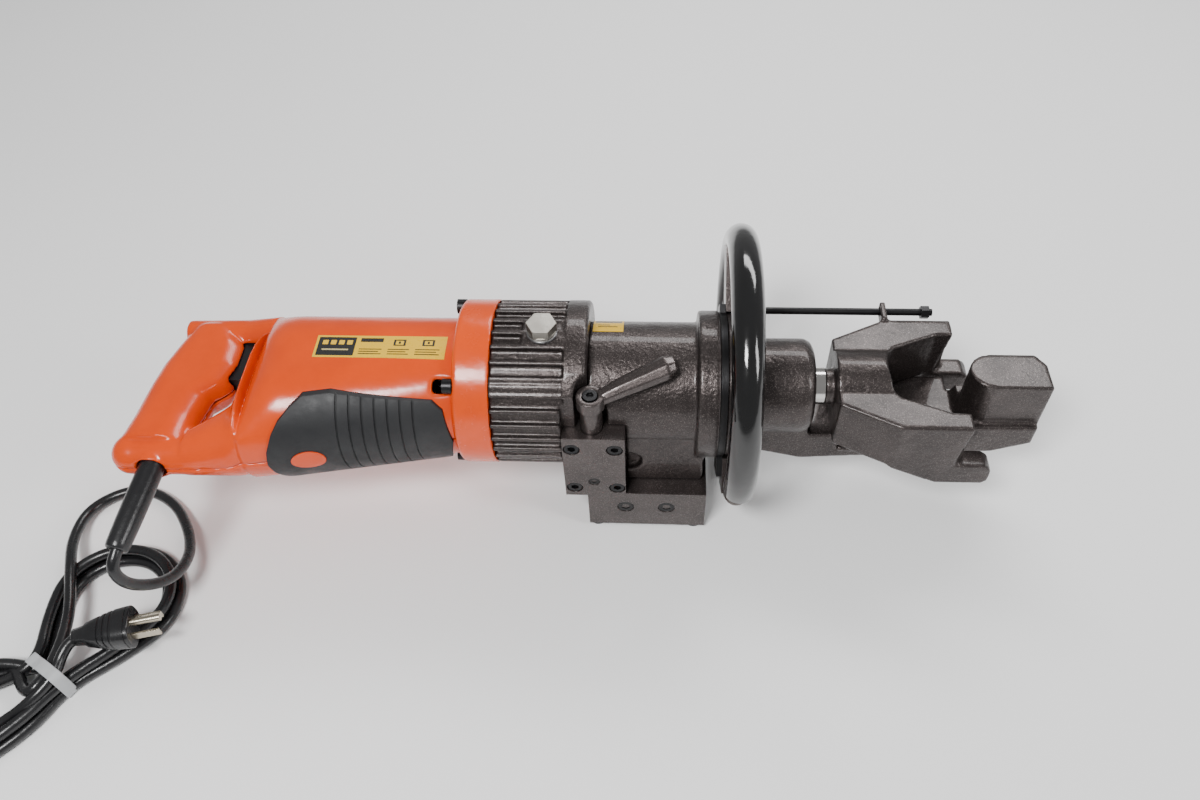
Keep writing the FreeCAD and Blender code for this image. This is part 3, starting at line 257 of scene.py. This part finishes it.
def tie_strap():
    """The soft tie round the waist of the hank: a closed strap with its end folded over."""
    outline = [
        (-16.5, 0.9), (0, 0.6), (16.5, 0.9), (18, 7), (17.4, 17), (15.2, 23.6), (8, 24.6), (0, 24),
        (-8, 18.6), (-16, 16.6), (-18, 9),
    ]
    data = bpy.data.curves.new("tie_outline", "CURVE")
    data.dimensions = "2D"
    data.extrude = 0.0034
    data.bevel_depth = 0.0006
    data.bevel_resolution = 3
    data.resolution_u = 8
    spline = data.splines.new("BEZIER")
    spline.bezier_points.add(len(outline) - 1)
    for point, (along_waist, height) in zip(spline.bezier_points, outline):
        point.co = (along_waist / 1000, height / 1000, 0)
        point.handle_left_type = point.handle_right_type = "AUTO"
    spline.use_cyclic_u = True
    flat = bpy.data.objects.new("tie_outline", data)
    bpy.context.scene.collection.objects.link(flat)
    side, lift = WAIST_SIDE.normalized(), Vector((0, 0, 1))
    turn = Matrix((side, lift, side.cross(lift))).transposed().to_4x4()
    solid = bpy.data.meshes.new_from_object(flat.evaluated_get(bpy.context.evaluated_depsgraph_get()))
    bpy.data.objects.remove(flat)
    strap = bpy.data.objects.new("hank_tie", solid)
    strap.matrix_world = Matrix.Translation(at(WAIST.x, WAIST.y, FLOOR)) @ turn
    bpy.context.scene.collection.objects.link(strap)
    return strap


tie = tie_strap()

for piece, nodes in ((cord, ("cord_lead", "cord_hank")), (guard, ("cord_guard",)), (tie, ("cord_tie",)),
                     (plug, ("plug_body",))):
    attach(piece, "root")
    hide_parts(*nodes)

# ---------------- materials


def nodes_of(name):
    material = bpy.data.materials.new(name)
    material.use_nodes = True
    tree = material.node_tree
    tree.nodes.clear()
    output = tree.nodes.new("ShaderNodeOutputMaterial")
    shader = tree.nodes.new("ShaderNodeBsdfPrincipled")
    tree.links.new(shader.outputs["BSDF"], output.inputs["Surface"])
    coords = tree.nodes.new("ShaderNodeTexCoord")
    return material, tree, shader, coords.outputs["Object"]


def noise(tree, coords, scale, detail=3, roughness=0.55, stretch=None):
    if stretch:
        mapping = tree.nodes.new("ShaderNodeMapping")
        mapping.inputs["Scale"].default_value = stretch
        tree.links.new(coords, mapping.inputs["Vector"])
        coords = mapping.outputs["Vector"]
    node = tree.nodes.new("ShaderNodeTexNoise")
    node.inputs["Scale"].default_value = scale
    node.inputs["Detail"].default_value = detail
    node.inputs["Roughness"].default_value = roughness
    tree.links.new(coords, node.inputs["Vector"])
    return node.outputs["Fac"]


def ramp(tree, value, low, high, out_low, out_high):
    node = tree.nodes.new("ShaderNodeMapRange")
    node.inputs["From Min"].default_value = low
    node.inputs["From Max"].default_value = high
    node.inputs["To Min"].default_value = out_low
    node.inputs["To Max"].default_value = out_high
    tree.links.new(value, node.inputs["Value"])
    return node.outputs["Result"]


def mixed(tree, factor, first, second):
    node = tree.nodes.new("ShaderNodeMix")
    node.data_type = "RGBA"
    for socket, value in ((node.inputs[6], first), (node.inputs[7], second)):
        if isinstance(value, tuple):
            socket.default_value = (*value, 1)
        else:
            tree.links.new(value, socket)
    tree.links.new(factor, node.inputs[0])
    return node.outputs[2]


def bump(tree, height, distance, normal=None):
    node = tree.nodes.new("ShaderNodeBump")
    node.inputs["Strength"].default_value = 1
    node.inputs["Distance"].default_value = distance
    tree.links.new(height, node.inputs["Height"])
    if normal:
        tree.links.new(normal, node.inputs["Normal"])
    return node.outputs["Normal"]


def bevel(tree, radius):
    node = tree.nodes.new("ShaderNodeBevel")
    node.samples = 4
    node.inputs["Radius"].default_value = radius
    return node.outputs["Normal"]


def finish(name, colour, other, roughness, metallic=0.0, grain=700, grain_depth=0.00012, waves=None,
           coat=0.0, edge=0.0006, sparkle=None, specular=0.5, stretch=None):
    """One finish: a colour that drifts to another, uneven gloss, a fine grain and slow waves in relief."""
    material, tree, shader, coords = nodes_of(name)
    drift = noise(tree, coords, 28, 5, 0.6)
    colour_out = mixed(tree, ramp(tree, drift, 0.35, 0.68, 0, 1), colour, other)
    fine = noise(tree, coords, grain, 4, 0.6, stretch)
    if sparkle:
        flakes = tree.nodes.new("ShaderNodeTexVoronoi")
        flakes.inputs["Scale"].default_value = 2600
        tree.links.new(coords, flakes.inputs["Vector"])
        glint = ramp(tree, flakes.outputs["Color"], 0.72, 1.0, 0, 1)
        colour_out = mixed(tree, glint, colour_out, sparkle)
    tree.links.new(colour_out, shader.inputs["Base Color"])
    smudge = noise(tree, coords, 55, 4, 0.65)
    gloss = ramp(tree, smudge, 0.3, 0.7, roughness * 0.78, roughness * 1.28)
    tree.links.new(gloss, shader.inputs["Roughness"])
    shader.inputs["Metallic"].default_value = metallic
    shader.inputs["Specular IOR Level"].default_value = specular
    shader.inputs["Coat Weight"].default_value = coat
    shader.inputs["Coat Roughness"].default_value = 0.08
    normal = bevel(tree, edge) if edge else None
    if waves:
        normal = bump(tree, noise(tree, coords, waves[0], 2, 0.5), waves[1], normal)
    tree.links.new(bump(tree, fine, grain_depth, normal), shader.inputs["Normal"])
    return material


GUNMETAL, GUNMETAL_DARK, GUNMETAL_GLINT = (0.058, 0.047, 0.045), (0.034, 0.027, 0.026), (0.22, 0.19, 0.18)
FINISHES = {
    "orange_plastic": finish("orange_plastic", (0.71, 0.062, 0.0), (0.63, 0.052, 0.0), 0.2, grain=420,
                             grain_depth=0.00003, waves=(60, 0.0003), coat=0.15, specular=0.4),
    "orange_paint": finish("orange_paint", (0.75, 0.070, 0.0), (0.67, 0.060, 0.0), 0.24, grain=520,
                           grain_depth=0.00005, waves=(90, 0.0003), coat=0.2, edge=0.001, specular=0.4),
    "soft_rubber": finish("soft_rubber", (0.007, 0.0075, 0.009), (0.011, 0.0115, 0.013), 0.55, grain=1500,
                          grain_depth=0.00012, edge=0.001),
    "switch_black": finish("switch_black", (0.006, 0.006, 0.007), (0.010, 0.010, 0.011), 0.3, grain=900,
                           grain_depth=0.00005),
    "cast_paint": finish("cast_paint", GUNMETAL, GUNMETAL_DARK, 0.36, 0.75, grain=520, grain_depth=0.00038,
                         waves=(130, 0.0006), coat=0.25, edge=0.0012, sparkle=GUNMETAL_GLINT),
    "machined_paint": finish("machined_paint", (0.076, 0.062, 0.060), (0.050, 0.041, 0.039), 0.3, 0.75,
                             grain=800, grain_depth=0.00012, coat=0.25, edge=0.001, sparkle=GUNMETAL_GLINT),
    "forged_steel": finish("forged_steel", GUNMETAL, GUNMETAL_DARK, 0.36, 0.75, grain=420, grain_depth=0.0004,
                           waves=(110, 0.0008), coat=0.25, edge=0.0014, sparkle=GUNMETAL_GLINT),
    "black_grip": finish("black_grip", (0.002, 0.002, 0.0022), (0.004, 0.004, 0.0045), 0.12, grain=260,
                         grain_depth=0.00005, waves=(70, 0.0004), coat=0.6),
    "brown_steel": finish("brown_steel", (0.075, 0.048, 0.034), (0.040, 0.025, 0.018), 0.45, 0.5, grain=600,
                          grain_depth=0.0002),
    "black_oxide": finish("black_oxide", (0.022, 0.022, 0.024), (0.035, 0.034, 0.034), 0.34, 0.85, grain=1200,
                          grain_depth=0.00006, edge=0.0004),
    "polished_steel": finish("polished_steel", (0.62, 0.60, 0.58), (0.54, 0.53, 0.52), 0.12, 1.0, grain=1600,
                             grain_depth=0.00001, stretch=(1, 0.05, 0.05), edge=0.0004),
    "zinc_plate": finish("zinc_plate", (0.42, 0.40, 0.36), (0.33, 0.31, 0.28), 0.36, 1.0, grain=900,
                         grain_depth=0.00008, edge=0.0006),
    "soft_metal": finish("soft_metal", (0.45, 0.45, 0.46), (0.36, 0.36, 0.37), 0.35, 1.0, grain=900),
    "bright_steel": finish("bright_steel", (0.45, 0.45, 0.46), (0.36, 0.36, 0.37), 0.25, 1.0, grain=1400,
                           grain_depth=0.00004, stretch=(0.1, 1, 1)),
    "copper": finish("copper", (0.60, 0.30, 0.14), (0.45, 0.21, 0.10), 0.3, 1.0, grain=1200,
                     grain_depth=0.00004),
    "carbon": finish("carbon", (0.02, 0.02, 0.02), (0.03, 0.03, 0.03), 0.7, grain=1800),
    "seal_rubber": finish("seal_rubber", (0.018, 0.018, 0.018), (0.028, 0.028, 0.028), 0.5, grain=1500,
                          grain_depth=0.0001),
    "cord_black": finish("cord_black", (0.008, 0.008, 0.009), (0.013, 0.013, 0.014), 0.26, grain=1400,
                         grain_depth=0.00004, waves=(160, 0.0002), edge=0),
    "tie_grey": finish("tie_grey", (0.46, 0.47, 0.48), (0.38, 0.39, 0.40), 0.55, grain=1800,
                       grain_depth=0.0001, edge=0),
    "plug_nickel": finish("plug_nickel", (0.55, 0.50, 0.40), (0.46, 0.40, 0.30), 0.28, 1.0, grain=900,
                          grain_depth=0.00004, edge=0.0004),
}


def band(tree, value, low, high):
    """1 between two places along a coordinate and 0 outside them."""
    above = tree.nodes.new("ShaderNodeMath")
    above.operation = "GREATER_THAN"
    above.inputs[1].default_value = low
    below = tree.nodes.new("ShaderNodeMath")
    below.operation = "LESS_THAN"
    below.inputs[1].default_value = high
    both = tree.nodes.new("ShaderNodeMath")
    both.operation = "MULTIPLY"
    tree.links.new(value, above.inputs[0])
    tree.links.new(value, below.inputs[0])
    tree.links.new(above.outputs[0], both.inputs[0])
    tree.links.new(below.outputs[0], both.inputs[1])
    return both.outputs[0]


def label_material():
    """Yellow film with plain dark panels: no lettering."""
    material, tree, shader, coords = nodes_of("label_yellow")
    axes = tree.nodes.new("ShaderNodeSeparateXYZ")
    tree.links.new(coords, axes.inputs[0])
    x, y = axes.outputs[0], axes.outputs[1]
    drift = noise(tree, coords, 90, 4)
    colour = mixed(tree, drift, (0.80, 0.50, 0.02), (0.72, 0.43, 0.02))
    dark = (0.02, 0.02, 0.02)

    def panel(colour, xs, ys, ink=dark):
        """Adds a rectangle to the colour, between two places along X and two along Y in the row frame."""
        low, high = at(xs[0], ys[0], 0), at(xs[1], ys[1], 0)
        both = tree.nodes.new("ShaderNodeMath")
        both.operation = "MULTIPLY"
        tree.links.new(band(tree, x, low.x, high.x), both.inputs[0])
        tree.links.new(band(tree, y, low.y, high.y), both.inputs[1])
        return mixed(tree, both.outputs[0], colour, ink)

    colour = panel(colour, (-226.8, -202), (-17, -1))
    for i in range(4):
        colour = panel(colour, (-224 + 5.4 * i, -220.4 + 5.4 * i), (-7.4, -3.6), (0.72, 0.45, 0.03))
    colour = panel(colour, (-223.5, -206), (-12.4, -11.2), (0.5, 0.42, 0.2))
    colour = panel(colour, (-199, -184), (-5, -1.6))
    for start, end in ((-199, -184), (-180, -166), (-162, -146)):
        for i in range(3):
            colour = panel(colour, (start, end - 2 * (i % 2)), (-15.6 + 2 * i, -14.8 + 2 * i))
    for start in (-177, -158):
        colour = panel(colour, (start, start + 8), (-8, -2.6))
        colour = panel(colour, (start + 1.4, start + 6.6), (-7, -3.6), (0.78, 0.49, 0.02))
        colour = panel(colour, (start + 3.3, start + 4.7), (-6.2, -4.2))
    colour = panel(colour, (-46.8, -29.2), (21.6, 26))
    colour = panel(colour, (-45, -37), (17, 18))
    colour = panel(colour, (-45, -32), (14.6, 15.6))
    tree.links.new(colour, shader.inputs["Base Color"])
    tree.links.new(ramp(tree, noise(tree, coords, 300, 3), 0.3, 0.7, 0.22, 0.38), shader.inputs["Roughness"])
    tree.links.new(bump(tree, noise(tree, coords, 900, 3), 0.00003), shader.inputs["Normal"])
    return material


FINISHES["label_yellow"] = label_material()

SLOTS = {item["node"]: item["material_slot"] for item in frame["record"]["subparts"]}


def paint(obj, slot):
    obj.data.materials.clear()
    obj.data.materials.append(FINISHES[slot])


for name, obj in frame["nodes"].items():
    paint(obj, SLOTS[name])
for piece, slot in ((cord, "cord_black"), (guard, "cord_black"), (plug, "cord_black"), (tie, "tie_grey")):
    paint(piece, slot)

# ---------------- moulded and cast pieces, with soft edges

BODY_OF = {node: body for body, names in frame["record"]["behaviour"]["bodies"].items() for node in names}
SOFTENED = [
    ("motor_housing_upper", 0.0011, 4), ("motor_housing_lower", 0.0011, 4), ("gear_housing", 0.0009, 2),
    ("cylinder_casting", 0.0011, 4), ("head_frame", 0.0011, 5), ("bending_block", 0.001, 5),
    ("front_flange", 0.0009, 3), ("release_lever", 0.0006, 5),
]


def soften(node, voxel, passes):
    """A copy of a CAD piece with its edges rounded as a casting's are; it stands for the piece."""
    source = frame["nodes"][node]
    mesh = source.data.copy()
    mesh.transform(source.matrix_world)
    obj = bpy.data.objects.new(node + "_moulded", mesh)
    bpy.context.scene.collection.objects.link(obj)
    remesh = obj.modifiers.new("remesh", "REMESH")
    remesh.mode = "VOXEL"
    remesh.voxel_size = voxel * 1
    remesh.use_smooth_shade = True
    smooth = obj.modifiers.new("smooth", "SMOOTH")
    smooth.factor = 0.5
    smooth.iterations = passes
    if node.startswith("motor_housing"):
        round_rear(obj)
    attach(obj, BODY_OF[node])
    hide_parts(node)


# where the rounding starts along X in the row frame, then its length and half the handle's height in metres
RIM_START, RIM_LENGTH, HANDLE_HALF = -244, 0.0285, 0.021


def round_rear(obj):
    """Rounds the rear rim of the barrel down towards the handle; what is as flat as the handle stays."""
    rounded = bpy.data.meshes.new_from_object(obj.evaluated_get(bpy.context.evaluated_depsgraph_get()))
    obj.modifiers.clear()
    obj.data = rounded
    start = at(RIM_START, 0, 0).x
    for vertex in rounded.vertices:
        past, height = start - vertex.co.x, abs(vertex.co.z - AXIS.z) - HANDLE_HALF
        if 0 < past < RIM_LENGTH and height > 0:
            keep = math.sqrt(1 - (past / RIM_LENGTH) ** 2)
            vertex.co.z = AXIS.z + math.copysign(HANDLE_HALF + height * keep, vertex.co.z - AXIS.z)
    ease = obj.modifiers.new("ease", "SMOOTH")
    ease.factor = 0.5
    ease.iterations = 12


for node, voxel, passes in SOFTENED:
    soften(node, voxel, passes)

# ---------------- floor and light


def area_light(name, place, target, size, power):
    data = bpy.data.lights.new(name, "AREA")
    data.shape = "RECTANGLE"
    data.size, data.size_y = size
    data.energy = power
    obj = bpy.data.objects.new(name, data)
    bpy.context.scene.collection.objects.link(obj)
    obj.location = place
    obj.rotation_euler = (Vector(target) - Vector(place)).to_track_quat("-Z", "Y").to_euler()


def studio():
    bpy.ops.mesh.primitive_plane_add(size=12, location=(0, 0, -0.0004))
    floor = bpy.context.active_object
    floor.name = "floor"
    material, tree, shader, coords = nodes_of("paper")
    tone = mixed(tree, noise(tree, coords, 3, 3), (0.93, 0.93, 0.93), (0.96, 0.96, 0.96))
    tree.links.new(tone, shader.inputs["Base Color"])
    shader.inputs["Roughness"].default_value = 0.75
    floor.data.materials.append(material)
    world = bpy.data.worlds.new("studio")
    world.use_nodes = True
    back = world.node_tree.nodes["Background"]
    back.inputs["Color"].default_value = (1, 1, 1, 1)
    back.inputs["Strength"].default_value = 0.34
    bpy.context.scene.world = world
    area_light("key", (-0.35, -0.75, 1.25), (0, 0, 0.05), (0.4, 0.3), 19)
    area_light("top", (0.35, 0.9, 1.1), (0, 0.1, 0.08), (1.3, 0.3), 13)
    area_light("side", (1.3, -0.5, 0.9), (0.1, 0, 0.08), (0.3, 0.7), 8)


studio()
